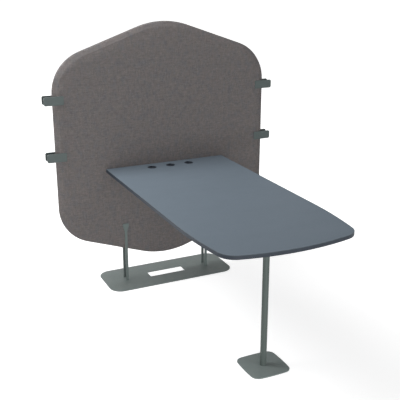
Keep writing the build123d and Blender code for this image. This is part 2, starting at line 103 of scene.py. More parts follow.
def along_axis(tree, vector, axis):
    """Returns what a vector has along the X, Y or Z axis."""
    return put(tree, "ShaderNodeSeparateXYZ", {0: vector}).outputs[axis]


def noise(tree, place, per_metre, detail=2.0, rough=0.5, stretch=None):
    """Adds a noise with so many blobs to the metre, drawn out by stretch, and returns its value."""
    if stretch is not None:
        place = put(tree, "ShaderNodeMapping", {"Vector": place, "Scale": stretch}).outputs["Vector"]
    values = {"Vector": place, "Scale": per_metre, "Detail": detail, "Roughness": rough}
    return put(tree, "ShaderNodeTexNoise", values).outputs["Fac"]


def spread(tree, value, span, onto=(0.0, 1.0)):
    """Maps one span of a value onto another, held at both ends, and returns the result."""
    ends = {"From Min": span[0], "From Max": span[1], "To Min": onto[0], "To Max": onto[1]}
    return put(tree, "ShaderNodeMapRange", {"Value": value, **ends}).outputs["Result"]


def blend_colours(tree, share, first, second):
    """Mixes two colours by a share and returns the result."""
    node = put(tree, "ShaderNodeMix", data_type="RGBA", blend_type="MIX")
    for socket, value in (("Factor_Float", share), ("A_Color", first), ("B_Color", second)):
        target = next(s for s in node.inputs if s.identifier == socket)
        if isinstance(value, bpy.types.NodeSocket):
            tree.links.new(value, target)
        else:
            target.default_value = value
    return next(s for s in node.outputs if s.identifier == "Result_Color")


def brighten(tree, colour, level):
    """Multiplies a colour by a level and returns the result."""
    return put(tree, "ShaderNodeVectorMath", {0: colour, "Scale": level}, operation="SCALE").outputs[0]


def open_group(name, takes, gives):
    """Starts a shader group with named inputs and outputs and returns it with its two ends."""
    group = bpy.data.node_groups.new(name, "ShaderNodeTree")
    for label, kind, value in takes:
        socket = group.interface.new_socket(label, in_out="INPUT", socket_type="NodeSocket" + kind)
        socket.default_value = value
    for label, kind in gives:
        group.interface.new_socket(label, in_out="OUTPUT", socket_type="NodeSocket" + kind)
    going_in = group.nodes.new("NodeGroupInput").outputs
    coming_out = group.nodes.new("NodeGroupOutput").inputs
    return group, going_in, coming_out


def fill_outputs(group, ends, **results):
    """Wires the results of a group to its outputs."""
    for label, result in results.items():
        group.links.new(result, ends[label])


def place_group(tree, group, **values):
    """Puts a group into a material with its own values and returns its outputs."""
    node = put(tree, "ShaderNodeGroup", node_tree=group)
    return fill(tree, node, values).outputs


def edge_rub_group():
    """Finds the sharp edges of a piece and breaks them up, as hands and feet rub paint away."""
    group, takes, ends = open_group(
        "edge_rub",
        [("Width", "Float", 0.002), ("Patches", "Float", 30.0), ("Amount", "Float", 0.5)],
        [("Mask", "Float")],
    )
    rounded = put(group, "ShaderNodeBevel", {"Radius": takes["Width"]}, samples=6).outputs["Normal"]
    plain = put(group, "ShaderNodeNewGeometry").outputs["Normal"]
    normals = {0: rounded, 1: plain}
    turn = put(group, "ShaderNodeVectorMath", normals, operation="DOT_PRODUCT").outputs["Value"]
    edge = spread(group, turn, (flat_turn, edge_turn))
    blobs = noise(group, own_place(group), takes["Patches"], detail=4.0, rough=0.65)
    patches = spread(group, blobs, rub_patch_span)
    broken_edge = maths(group, "MULTIPLY", edge, patches)
    mask = maths(group, "MULTIPLY", broken_edge, takes["Amount"], clamp=True)
    fill_outputs(group, ends, Mask=mask)
    return group


def powder_coat_group(edge_rub):
    """Powder coat: a fine orange peel, a faint speckle, rubbed edges, and dust where the face looks up."""
    group, takes, ends = open_group(
        "powder_coat",
        [
            ("Coat", "Color", shade(*coat_grey_green)),
            ("Rubbed", "Color", shade(*coat_rub_grey)),
            ("Dust colour", "Color", shade(*dust_grey)),
            ("Peel per metre", "Float", 700.0),
            ("Speckle", "Float", 0.10),
            ("Rub", "Float", 0.3),
            ("Dust", "Float", 0.1),
        ],
        [("Colour", "Color"), ("Roughness", "Float"), ("Height", "Float")],
    )
    place = own_place(group)
    fine_blobs = noise(group, place, per_metre=1600.0, detail=1.0)
    wide_blobs = noise(group, place, per_metre=9.0, detail=4.0, rough=0.6)
    speckle = spread(group, fine_blobs, noise_span, either_way)
    clouds = spread(group, wide_blobs, noise_span, either_way)
    speckled = maths(group, "MULTIPLY", speckle, takes["Speckle"])
    clouded = maths(group, "MULTIPLY", clouds, coat_cloud_strength)
    brightness = maths(group, "ADD", maths(group, "ADD", speckled, clouded), 1.0)
    toned = brighten(group, takes["Coat"], brightness)
    rub = place_group(group, edge_rub, Width=0.0016, Patches=45.0, Amount=takes["Rub"])["Mask"]
    rubbed = blend_colours(group, rub, toned, takes["Rubbed"])
    normal = put(group, "ShaderNodeNewGeometry").outputs["Normal"]
    level = spread(group, along_axis(group, normal, "Z"), facing_up_span)
    drift_blobs = noise(group, place, per_metre=14.0, detail=6.0, rough=0.7)
    drift = spread(group, drift_blobs, dust_drift_span)
    settled = maths(group, "MULTIPLY", level, drift)
    dust = maths(group, "MULTIPLY", settled, takes["Dust"], clamp=True)
    dusty = blend_colours(group, dust, rubbed, takes["Dust colour"])
    peel = noise(group, place, takes["Peel per metre"], detail=2.0, rough=0.45)
    uneven = spread(group, noise(group, place, per_metre=60.0, detail=3.0), noise_span, coat_roughness)
    dulled = maths(group, "ADD", uneven, maths(group, "MULTIPLY", dust, dust_dullness))
    polished = maths(group, "SUBTRACT", dulled, maths(group, "MULTIPLY", rub, rub_polish))
    fill_outputs(group, ends, Colour=dusty, Roughness=polished, Height=peel)
    return group


edge_rub = edge_rub_group()
powder_coat = powder_coat_group(edge_rub)


def start_material(name):
    """Opens a material and returns it with its node tree and its surface shader."""
    material = bpy.data.materials.new(name)
    material.use_nodes = True
    return material, material.node_tree, material.node_tree.nodes["Principled BSDF"]


def finish_surface(tree, shader, colour, roughness, height, relief, edge_round):
    """Wires colour, roughness and a fine relief to the shader, over softly rounded edges."""
    rounded = put(tree, "ShaderNodeBevel", {"Radius": edge_round}, samples=4).outputs["Normal"]
    values = {"Height": height, "Distance": relief, "Normal": rounded, "Strength": 1.0}
    bump = put(tree, "ShaderNodeBump", values)
    fill(tree, shader, {"Base Color": colour, "Roughness": roughness, "Normal": bump.outputs["Normal"]})


def coated_steel(name, coat, speckle, rub, dust):
    """A powder-coated steel finish with its own colour, speckle, rub and dust."""
    material, tree, shader = start_material(name)
    shader.inputs["Specular IOR Level"].default_value = coat_gloss
    values = {"Coat": shade(*coat), "Speckle": speckle, "Rub": rub, "Dust": dust}
    out = place_group(tree, powder_coat, **values)
    roughness, peel = out["Roughness"], out["Height"]
    finish_surface(tree, shader, out["Colour"], roughness, peel, coat_relief, coat_edge_round)
    return material


def dress(names, material):
    """Gives CAD nodes a material through their object's own slot."""
    for name in names:
        piece = nodes[name]
        if not piece.material_slots:
            piece.data.materials.append(material)
        piece.material_slots[0].link = "OBJECT"
        piece.material_slots[0].material = material


dress(["base_plate"], coated_steel("floor_plate_coat", coat_grey_green, speckle=0.12, rub=0.12, dust=0.15))

# Thin discs of dark plastic under the floor plate and the foot plate, six and four of them, stuck on.
# They keep the steel off the floor, and their rims are a little grey from wear.
disc_grey = (52, 53, 56)
disc_worn_grey = (96, 96, 96)
plastic_gloss = 0.3
plastic_roughness = (0.46, 0.60)
plastic_cloud_span = (0.35, 0.7)
plastic_cloud_strength = 0.12
plastic_relief = 0.00004
plastic_edge_round = 0.0003


def moulded_plastic_group():
    """Moulded plastic: a fine spark-eroded grain, faint flow clouds and lighter handled patches."""
    group, takes, ends = open_group(
        "moulded_plastic",
        [
            ("Plastic", "Color", shade(*disc_grey)),
            ("Handled", "Color", shade(*disc_worn_grey)),
            ("Grain per metre", "Float", 1800.0),
            ("Wear", "Float", 0.2),
        ],
        [("Colour", "Color"), ("Roughness", "Float"), ("Height", "Float")],
    )
    place = own_place(group)
    cloud_blobs = noise(group, place, per_metre=120.0, detail=3.0, rough=0.6)
    clouds = spread(group, cloud_blobs, plastic_cloud_span)
    cloud_share = maths(group, "MULTIPLY", clouds, plastic_cloud_strength)
    rub = place_group(group, edge_rub, Width=0.0010, Patches=160.0, Amount=takes["Wear"])["Mask"]
    cloudy = blend_colours(group, cloud_share, takes["Plastic"], takes["Handled"])
    worn = blend_colours(group, rub, cloudy, takes["Handled"])
    grain = noise(group, place, takes["Grain per metre"], detail=1.0)
    roughness = spread(group, noise(group, place, per_metre=260.0), noise_span, plastic_roughness)
    fill_outputs(group, ends, Colour=worn, Roughness=roughness, Height=grain)
    return group


moulded_plastic = moulded_plastic_group()


def plastic(name, colour, handled, wear, grain_per_metre):
    """A moulded plastic finish with its own colours, wear and grain."""
    material, tree, shader = start_material(name)
    shader.inputs["Specular IOR Level"].default_value = plastic_gloss
    values = {
        "Plastic": shade(*colour),
        "Handled": shade(*handled),
        "Wear": wear,
        "Grain per metre": grain_per_metre,
    }
    out = place_group(tree, moulded_plastic, **values)
    roughness, grain = out["Roughness"], out["Height"]
    finish_surface(tree, shader, out["Colour"], roughness, grain, plastic_relief, plastic_edge_round)
    return material


disc_plastic = plastic("disc_plastic", disc_grey, disc_worn_grey, wear=0.5, grain_per_metre=1400.0)
dress(["base_floor_pads", "foot_floor_pads"], disc_plastic)

# Posts: four flat bars cut from 6 mm steel, with a wider head, coated like the floor plate, with painted
# shade that makes these upright bars darker. Two stand in front of the screen and two behind it, screwed
# together through it.
post_painted_shade_grey_green = (95, 105, 103)
dress(
    ["front_left_post", "front_right_post", "rear_left_post", "rear_right_post"],
    coated_steel("post_coat", post_painted_shade_grey_green, speckle=0.10, rub=0.12, dust=0.05),
)

# Core board: an 18 mm chipboard inside the screen, raw on its faces and edges.
# Every screw of the screen goes through it or into it, and the foam is glued to it.
chip_light = (196, 168, 128)
chip_dark = (142, 110, 76)
chips_per_metre = 210.0
chip_patch_shares = (0.6, 1.0)
chip_dryness = (0.75, 0.9)
board_relief = 0.0002
board_edge_round = 0.0004
board, board_tree, board_shader = start_material("raw_chipboard")
board_place = own_place(board_tree)
chip_values = {"Vector": board_place, "Scale": chips_per_metre}
chips = put(board_tree, "ShaderNodeTexVoronoi", chip_values, feature="F1").outputs
chip_tone = put(board_tree, "ShaderNodeSeparateColor", {0: chips["Color"]}).outputs["Red"]
board_blobs = noise(board_tree, board_place, per_metre=35.0, detail=5.0, rough=0.6)
chip_patches = spread(board_tree, board_blobs, noise_span, chip_patch_shares)
chip_share = maths(board_tree, "MULTIPLY", chip_tone, chip_patches)
chip_colour = blend_colours(board_tree, chip_share, shade(*chip_light), shade(*chip_dark))
chip_roughness = spread(board_tree, chip_tone, (0.0, 1.0), chip_dryness)
finish_surface(
    board_tree, board_shader, chip_colour, chip_roughness, chips["Distance"], board_relief, board_edge_round
)
dress(["screen_core_board"], board)

# Sleeves, inserts and the screws out of sight: turned or cold-headed steel with a zinc plating.
# The sleeves keep the screws from crushing the foam, and the inserts hold the desk's brackets.
zinc_light = (196, 198, 200)
zinc_dull = (138, 140, 143)
spangles_per_metre = 420.0
zinc_cloud_span = (0.35, 0.65)
zinc_polish = (0.26, 0.42)
zinc_relief = 0.00003
zinc_edge_round = 0.0002
zinc, zinc_tree, zinc_shader = start_material("zinc_plating")
zinc_shader.inputs["Metallic"].default_value = 1.0
zinc_place = own_place(zinc_tree)
spangle_values = {"Vector": zinc_place, "Scale": spangles_per_metre}
spangles = put(zinc_tree, "ShaderNodeTexVoronoi", spangle_values, feature="SMOOTH_F1").outputs
zinc_blobs = noise(zinc_tree, zinc_place, per_metre=150.0, detail=4.0, rough=0.6)
zinc_clouds = spread(zinc_tree, zinc_blobs, zinc_cloud_span)
zinc_colour = blend_colours(zinc_tree, zinc_clouds, shade(*zinc_light), shade(*zinc_dull))
zinc_roughness = spread(zinc_tree, zinc_clouds, (0.0, 1.0), zinc_polish)
finish_surface(
    zinc_tree, zinc_shader, zinc_colour, zinc_roughness, spangles["Distance"], zinc_relief, zinc_edge_round
)
dress(["post_sleeves", "link_sleeves", "bracket_inserts"], zinc)
dress(["bracket_screws", "desk_screws", "leg_plug", "foot_screw"], zinc)

# Upholstery of the screen: two halves of foam under a woven grey melange, sewn together in the middle
# of the rim, so that a shallow groove runs all the way round. The foam swells softly between the seam
# and the places where posts, link plates, brackets and the desk's back edge hold it down.
cloth_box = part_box("screen_front_padding")
cloth_back_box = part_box("screen_rear_padding")
half_width = cloth_box[1].x
side_foot = 0.351
side_head = 1.351
peak_rise = 0.232
peak_radius = 0.475
shoulder_radius = 0.240
face_front_y = cloth_box[0].y
face_back_y = cloth_back_box[1].y
seam_y = cloth_box[1].y
fall_angle = 24.0
fall_length = 0.020
fall_round = 0.007
start_steps = 3
fall_steps = 4
round_steps = 6
finest_turn = 0.5
cell_size = 0.020
start_gap = 0.0014
most_swell = 0.0030
still_move = 1e-9
rim_proud = 0.0020
groove_width = 0.0009
groove_depth = 0.0030
seam_gap = 0.0001
groove_wall_depth = 0.25
groove_wall_width = 0.4
# The groove's lip and wall take these shares of painted shade.
groove_lip_shade_share = 0.1
groove_wall_shade_share = 0.6
hold_margin = 0.007
foam_pressure = 4.0
fabric_mass = 0.3
fabric_stretch_stiffness = 40.0
fabric_shear_stiffness = 20.0
fabric_bend_stiffness = 8.0
fabric_air_damping = 4.0
swell_quality = 4
swell_steps = 20
cloth_warm = (105, 100, 98)
cloth_cool = (97, 96, 98)
cloth_brown = (106, 100, 99)
cloth_pale = (134, 132, 132)
cloth_gloss = 0.15
cloth_sheen = 0.05
cloth_sheen_roughness = 0.5
cloth_sheen_pale = (210, 205, 205)
groove_shade_dark = (44, 41, 42)
groove_shade_strength = 0.75
yarns_per_metre = 520.0
yarn_crossing_span = (-0.25, 0.25)
yarn_height = 0.75
fuzz_height = 0.25
crown_span = (0.0, 0.8)
cool_span = (0.42, 0.62)
brown_span = (0.45, 0.66)
pale_span = (0.55, 0.72)
pale_strength = 0.45
weft_slub_shades = (-0.11, 0.11)
warp_slub_shades = (-0.10, 0.10)
weave_shade_and_highlight_span = (0.72, 1.06)
cloth_roughness = (0.86, 0.98)
weave_depth = 0.0005
weave_strength = 0.9
pucker_depth = 0.0016
pucker_reach = 0.010
pucker_stretch = (150.0, 22.0, 150.0)


def rounded_corner(before, corner, after, radius):
    """Gives the round at a corner as its centre, its radius, and its first and last angle."""
    into = (corner - before).normalized()
    out = (after - corner).normalized()
    turn = into.angle_signed(out)
    cut = radius * math.tan(abs(turn) / 2)
    centre = corner - into * cut + Vector((-into.y, into.x)) * radius
    first = math.atan2(-into.x, into.y)
    return centre, radius, first, first + abs(turn)


def screen_rim():
    """Lists the rounds of the screen's outline, anticlockwise from the left lower shoulder."""
    corners = [
        (Vector((-half_width, side_foot)), shoulder_radius),
        (Vector((0, side_foot - peak_rise)), peak_radius),
        (Vector((half_width, side_foot)), shoulder_radius),
        (Vector((half_width, side_head)), shoulder_radius),
        (Vector((0, side_head + peak_rise)), peak_radius),
        (Vector((-half_width, side_head)), shoulder_radius),
    ]
    rounds = []
    for index, (corner, radius) in enumerate(corners):
        before = corners[index - 1][0]
        after = corners[(index + 1) % len(corners)][0]
        rounds.append(rounded_corner(before, corner, after, radius))
    return rounds


def walk_rim(rounds, first, last, steps):
    """Points and outward normals, evenly spaced from the middle of one round to the middle of another."""
    path = []
    for index in range(first, last + 1):
        centre, radius, start, end = rounds[index % len(rounds)]
        middle = (start + end) / 2
        low = middle if index == first else start
        high = middle if index == last else end
        pieces = max(2, int((high - low) / math.radians(finest_turn)))
        for step in range(pieces + 1):
            angle = low + (high - low) * step / pieces
            out = Vector((math.cos(angle), math.sin(angle)))
            path.append((centre + out * radius, out))
    runs = [0.0]
    for (here, _), (there, _) in zip(path, path[1:]):
        runs.append(runs[-1] + (there - here).length)
    marks = np.linspace(0.0, runs[-1], steps + 1)
    fields = np.array([[*point, *out] for point, out in path])
    sampled = np.array([np.interp(marks, runs, field) for field in fields.T]).T
    sampled[:, 2:] /= np.linalg.norm(sampled[:, 2:], axis=1)[:, None]
    return sampled


def face_net(bottom, right, top, left):
    """Fills the space between four edges with an even net of points."""
    columns = len(bottom) - 1
    rows = len(left) - 1
    u = np.linspace(0, 1, columns + 1)[None, :, None]
    v = np.linspace(0, 1, rows + 1)[:, None, None]
    along = (1 - v) * bottom[None] + v * top[None]
    across = (1 - u) * left[:, None] + u * right[:, None]
    lower_ends = (1 - u) * (1 - v) * bottom[0] + u * (1 - v) * bottom[-1]
    upper_ends = (1 - u) * v * top[0] + u * v * top[-1]
    return along + across - lower_ends - upper_ends


def rim_profile(drop):
    """Widths and depths of the rim from the face to the seam: a soft start, an even fall, a tight round."""
    fall = math.radians(fall_angle)
    profile = []
    for step in range(1, start_steps + 1):
        angle = fall * step / start_steps
        profile.append((fall_round * math.sin(angle), fall_round * (1 - math.cos(angle))))
    width, depth = profile[-1]
    for step in range(1, fall_steps + 1):
        run = fall_length * step / fall_steps
        profile.append((width + run * math.cos(fall), depth + run * math.sin(fall)))
    width, depth = profile[-1]
    seam_round = (drop - depth) / math.cos(fall)
    for step in range(1, round_steps + 1):
        angle = fall + (math.pi / 2 - fall) * step / round_steps
        across = seam_round * (math.sin(angle) - math.sin(fall))
        down = seam_round * (math.cos(fall) - math.cos(angle))
        profile.append((width + across, depth + down))
    return profile


def shell_steps(depth, rim):
    """The steps from face to seam: how far in from the rim, how far back, and how deep in the groove."""
    rim_inset = rim[-1][0]
    steps = []
    for across, back in rim[:-1]:
        inset = rim_inset - (rim_inset + rim_proud) * across / rim_inset
        steps.append((inset, start_gap + back, 0.0))
    wall_inset = groove_depth * groove_wall_depth - rim_proud
    wall_back = depth - groove_width * groove_wall_width
    steps.append((-rim_proud, depth - groove_width, groove_lip_shade_share))
    steps.append((wall_inset, wall_back, groove_wall_shade_share))
    steps.append((groove_depth - rim_proud, depth - seam_gap, 1.0))
    return steps


def upholstery_half(name, face_y, lean):
    """Builds one half as an open shell from its face to the bottom of the seam's groove."""
    rounds = screen_rim()
    columns = round(2 * half_width / cell_size)
    rows = round((side_head - side_foot + peak_rise) / cell_size)
    sides = [
        walk_rim(rounds, 0, 2, columns),
        walk_rim(rounds, 2, 3, rows),
        walk_rim(rounds, 3, 5, columns),
        walk_rim(rounds, 5, 6, rows),
    ]
    depth = abs(seam_y - face_y)
    rim = rim_profile(depth - groove_width - start_gap)
    rim_inset = rim[-1][0]
    inner = [side[:, :2] - rim_inset * side[:, 2:] for side in sides]
    net = face_net(inner[0], inner[1], inner[2][::-1], inner[3][::-1])
    height, width = net.shape[:2]
    face_level = face_y + lean * start_gap
    points = [(x, face_level, z) for x, z in net.reshape(-1, 2)]
    unrolled = [(x, z, 0.0) for x, z in net.reshape(-1, 2)]
    groove_shares = [0.0] * len(points)
    faces = []
    for row in range(height - 1):
        for column in range(width - 1):
            corner = row * width + column
            faces.append((corner, corner + 1, corner + width + 1, corner + width))
    ring = list(range(width - 1))
    ring += [row * width + width - 1 for row in range(height - 1)]
    ring += [(height - 1) * width + column for column in range(width - 1, 0, -1)]
    ring += [row * width for row in range(height - 1, 0, -1)]
    outline = np.concatenate([side[:-1] for side in sides])
    run = 0.0
    before = (rim_inset, start_gap)
    for inset, back, groove in shell_steps(depth, rim):
        run += math.hypot(inset - before[0], back - before[1])
        before = (inset, back)
        start = len(points)
        for x, z, out_x, out_z in outline:
            points.append((x - inset * out_x, face_y + lean * back, z - inset * out_z))
            unrolled.append((x - (rim_inset - run) * out_x, z - (rim_inset - run) * out_z, 0.0))
            groove_shares.append(groove)
        current = list(range(start, start + len(outline)))
        for k in range(len(outline)):
            following = (k + 1) % len(outline)
            faces.append((current[k], current[following], ring[following], ring[k]))
        ring = current
    if lean < 0:
        faces = [tuple(reversed(face)) for face in faces]
    mesh = bpy.data.meshes.new(name)
    mesh.from_pydata(points, [], faces)
    flat_places = mesh.attributes.new("unrolled", "FLOAT_VECTOR", "POINT")
    flat_places.data.foreach_set("vector", np.array(unrolled).ravel())
    mesh.attributes.new("groove", "FLOAT", "POINT").data.foreach_set("value", np.array(groove_shares))
    mesh.polygons.foreach_set("use_smooth", [True] * len(mesh.polygons))
    mesh.update()
    piece = bpy.data.objects.new(name, mesh)
    bpy.context.scene.collection.objects.link(piece)
    return piece


def held_share(places, boxes):
    """How firmly each point is held: 1 inside the boxes of what presses on it, falling off around them."""
    held = np.zeros(len(places))
    for low_x, high_x, low_z, high_z in boxes:
        away_x = np.maximum(np.maximum(low_x - places[:, 0], places[:, 0] - high_x), 0)
        away_z = np.maximum(np.maximum(low_z - places[:, 2], places[:, 2] - high_z), 0)
        away = np.hypot(away_x, away_z)
        held = np.maximum(held, np.clip(1 - away / hold_margin, 0, 1))
    return held


def pressed_boxes(names):
    """The width and height that CAD nodes cover on the screen."""
    boxes = []
    for name in names:
        low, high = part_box(name)
        boxes.append((low.x, high.x, low.z, high.z))
    return boxes


def read_points(mesh):
    """Reads the places of a mesh's points."""
    places = np.zeros(len(mesh.vertices) * 3, np.float32)
    mesh.vertices.foreach_get("co", places)
    return places.reshape(-1, 3).astype(float)


def write_points(mesh, places):
    """Moves a mesh's points to their new places."""
    mesh.vertices.foreach_set("co", places.astype(np.float32).ravel())
    mesh.update()


def simulated_swell(piece, rest):
    """Runs the fabric over the swelling foam and returns how far each point goes."""
    cloth = piece.modifiers.new("swell", "CLOTH")
    settings = cloth.settings
    settings.quality = swell_quality
    settings.mass = fabric_mass
    settings.tension_stiffness = fabric_stretch_stiffness
    settings.compression_stiffness = fabric_stretch_stiffness
    settings.shear_stiffness = fabric_shear_stiffness
    settings.bending_stiffness = fabric_bend_stiffness
    settings.air_damping = fabric_air_damping
    settings.use_pressure = True
    settings.uniform_pressure_force = foam_pressure
    settings.vertex_group_mass = "held"
    settings.effector_weights.gravity = 0.0
    cloth.collision_settings.use_collision = False
    cloth.point_cache.frame_start = 1
    cloth.point_cache.frame_end = swell_steps
    scene = bpy.context.scene
    for step in range(1, swell_steps + 1):
        scene.frame_set(step)
    shaped = piece.evaluated_get(bpy.context.evaluated_depsgraph_get())
    move = read_points(shaped.to_mesh()) - rest
    shaped.to_mesh_clear()
    piece.modifiers.remove(cloth)
    scene.frame_set(1)
    return move


def swell(piece, face_y, lean, boxes):
    """Lets the foam swell under its fabric with the places that are held down pinned."""
    rest = read_points(piece.data)
    groove = np.zeros(len(rest), np.float32)
    piece.data.attributes["groove"].data.foreach_get("value", groove)
    on_face = np.abs(rest[:, 1] - face_y) < 2 * start_gap
    held = held_share(rest, boxes) * on_face
    pinned = np.clip(np.maximum(held, groove > 0), 0, 1)
    group = piece.vertex_groups.new(name="held")
    for index in np.nonzero(pinned > 0)[0]:
        group.add([int(index)], float(pinned[index]), "REPLACE")
    rest[:, 1] -= lean * held * start_gap
    write_points(piece.data, rest)
    move = simulated_swell(piece, rest)
    size = np.linalg.norm(move, axis=1)
    share = most_swell * np.tanh(size / most_swell) / np.maximum(size, still_move)
    write_points(piece.data, rest + move * share[:, None])


def divide_once(piece):
    """Divides the faces of a piece once, into a smoother skin."""
    finer = piece.modifiers.new("finer", "SUBSURF")
    finer.levels = 1
    finer.render_levels = 1
    bpy.context.view_layer.objects.active = piece
    bpy.ops.object.modifier_apply(modifier=finer.name)


def close_back(piece):
    """Closes the half with a flat back where it lies against the other one."""
    body = bmesh.new()
    body.from_mesh(piece.data)
    open_edges = [edge for edge in body.edges if len(edge.link_faces) == 1]
    bmesh.ops.contextual_create(body, geom=open_edges)
    body.to_mesh(piece.data)
    body.free()


def woven_cloth_group():
    """Woven melange: warp and weft over and under each other, spun from fibres of mixed colours."""
    group, takes, ends = open_group(
        "woven_cloth",
        [
            ("Place", "Vector", (0.0, 0.0, 0.0)),
            ("Yarns per metre", "Float", yarns_per_metre),
            ("Main", "Color", shade(*cloth_warm)),
            ("Cool", "Color", shade(*cloth_cool)),
            ("Brown", "Color", shade(*cloth_brown)),
            ("Pale", "Color", shade(*cloth_pale)),
            ("Melange", "Float", 1.0),
        ],
        [("Colour", "Color"), ("Roughness", "Float"), ("Height", "Float")],
    )
    place = takes["Place"]
    turns = maths(group, "MULTIPLY", takes["Yarns per metre"], math.pi)
    across = maths(group, "SINE", maths(group, "MULTIPLY", along_axis(group, place, "X"), turns))
    along = maths(group, "SINE", maths(group, "MULTIPLY", along_axis(group, place, "Y"), turns))
    warp = maths(group, "ABSOLUTE", across)
    weft = maths(group, "ABSOLUTE", along)
    over_share = spread(group, maths(group, "MULTIPLY", across, along), yarn_crossing_span)
    crown = put(group, "ShaderNodeMix", {0: over_share, 2: weft, 3: warp}, data_type="FLOAT").outputs[0]
    fuzz = noise(group, place, per_metre=2600.0, detail=2.0, rough=0.6)
    yarns = maths(group, "MULTIPLY", crown, yarn_height)
    height = maths(group, "ADD", yarns, maths(group, "MULTIPLY", fuzz, fuzz_height))
    cool_yarns = noise(group, place, per_metre=34.0, detail=5.0, rough=0.72, stretch=(1.0, 0.5, 1.0))
    brown_yarns = noise(group, place, per_metre=29.0, detail=5.0, rough=0.72, stretch=(0.45, 1.0, 1.0))
    pale_fibres = noise(group, place, per_metre=330.0, detail=3.0, rough=0.7, stretch=(1.0, 0.5, 1.0))
    thick_weft = noise(group, place, per_metre=115.0, detail=2.0, rough=0.6, stretch=(0.30, 1.0, 1.0))
    thick_warp = noise(group, place, per_metre=115.0, detail=2.0, rough=0.6, stretch=(1.0, 0.30, 1.0))
    cool = maths(group, "MULTIPLY", spread(group, cool_yarns, cool_span), takes["Melange"])
    brown = maths(group, "MULTIPLY", spread(group, brown_yarns, brown_span), takes["Melange"])
    pale = maths(group, "MULTIPLY", spread(group, pale_fibres, pale_span), pale_strength)
    with_cool = blend_colours(group, cool, takes["Main"], takes["Cool"])
    with_brown = blend_colours(group, brown, with_cool, takes["Brown"])
    with_pale = blend_colours(group, pale, with_brown, takes["Pale"])
    weft_slubs = spread(group, thick_weft, noise_span, weft_slub_shades)
    warp_slubs = spread(group, thick_warp, noise_span, warp_slub_shades)
    slubs = maths(group, "ADD", maths(group, "ADD", weft_slubs, warp_slubs), 1.0)
    # Painted shade in the hollows of the weave and a faint painted highlight on the yarns' crowns.
    weave_shade_and_highlight = spread(group, crown, crown_span, weave_shade_and_highlight_span)
    colour = brighten(group, with_pale, maths(group, "MULTIPLY", weave_shade_and_highlight, slubs))
    roughness = spread(group, fuzz, noise_span, cloth_roughness)
    fill_outputs(group, ends, Colour=colour, Roughness=roughness, Height=height)
    return group


woven_cloth = woven_cloth_group()
cloth, cloth_tree, cloth_shader = start_material("woven_grey_melange")
cloth_shader.inputs["Specular IOR Level"].default_value = cloth_gloss
cloth_shader.inputs["Sheen Weight"].default_value = cloth_sheen
cloth_shader.inputs["Sheen Roughness"].default_value = cloth_sheen_roughness
cloth_shader.inputs["Sheen Tint"].default_value = shade(*cloth_sheen_pale)
cloth_place = put(cloth_tree, "ShaderNodeAttribute", attribute_name="unrolled").outputs["Vector"]
weave = place_group(cloth_tree, woven_cloth, Place=cloth_place)
groove_share = put(cloth_tree, "ShaderNodeAttribute", attribute_name="groove").outputs["Fac"]
pucker_place = own_place(cloth_tree)
pucker_y = along_axis(cloth_tree, pucker_place, "Y")
puckers = noise(cloth_tree, pucker_place, per_metre=1.0, detail=1.0, rough=0.4, stretch=pucker_stretch)
before_seam = spread(cloth_tree, pucker_y, (seam_y - pucker_reach, seam_y))
behind_seam = spread(cloth_tree, pucker_y, (seam_y + pucker_reach, seam_y))
by_seam = maths(cloth_tree, "MULTIPLY", before_seam, behind_seam)
pucker_share = maths(cloth_tree, "MULTIPLY", by_seam, puckers)
weave_values = {"Height": weave["Height"], "Distance": weave_depth, "Strength": weave_strength}
weave_bump = put(cloth_tree, "ShaderNodeBump", weave_values).outputs["Normal"]
pucker_values = {"Height": pucker_share, "Distance": pucker_depth, "Strength": 1.0, "Normal": weave_bump}
cloth_bump = put(cloth_tree, "ShaderNodeBump", pucker_values).outputs["Normal"]
# Painted shade darkens the seam's groove, most at its bottom.
groove_shade = maths(cloth_tree, "MULTIPLY", groove_share, groove_shade_strength)
cloth_colour = blend_colours(cloth_tree, groove_shade, weave["Colour"], shade(*groove_shade_dark))
cloth_looks = {"Base Color": cloth_colour, "Roughness": weave["Roughness"], "Normal": cloth_bump}
fill(cloth_tree, cloth_shader, cloth_looks)

link_names = [f"{level}_{side}" for level in ("upper", "lower") for side in ("left", "right")]
front_press = ["front_left_post", "front_right_post"]
front_press += ["left_desk_bracket", "right_desk_bracket", "desk_edge_band"]
front_press += [f"{name}_front_link_plate" for name in link_names]
rear_press = ["rear_left_post", "rear_right_post"]
rear_press += [f"{name}_rear_link_plate" for name in link_names]
for piece_name, cad_name, face_y, lean, pressing in (
    ("screen_front_upholstery", "screen_front_padding", face_front_y, 1, front_press),
    ("screen_rear_upholstery", "screen_rear_padding", face_back_y, -1, rear_press),
):
    upholstery = upholstery_half(piece_name, face_y, lean)
    swell(upholstery, face_y, lean, pressed_boxes(pressing))
    divide_once(upholstery)
    close_back(upholstery)
    upholstery.data.materials.append(cloth)
    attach(upholstery, "desk_and_screen")
    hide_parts(cad_name)

# Link plates: eight flat plates of 6 mm steel, in pairs in front of and behind the screen's side edges.
# They hold the edge of a neighbouring screen, and their coat is the posts' one, with more painted shade
# that makes it darker.
link_plate_painted_shade_grey_green = (77, 86, 85)
dress(
    [f"{name}_{face}_link_plate" for name in link_names for face in ("front", "rear")],
    coated_steel("link_plate_coat", link_plate_painted_shade_grey_green, speckle=0.10, rub=0.12, dust=0.05),
)

# Screws of the posts and link plates: countersunk, with a hexagon socket, coated like the plates with the
# same painted shade.
# They go in from the rear, flush with the steel, and the key has rubbed them.
screw_painted_shade_grey_green = (79, 88, 86)
screw_coat = coated_steel("screw_coat", screw_painted_shade_grey_green, speckle=0.08, rub=0.7, dust=0.0)
dress(["post_screws", "link_screws"], screw_coat)

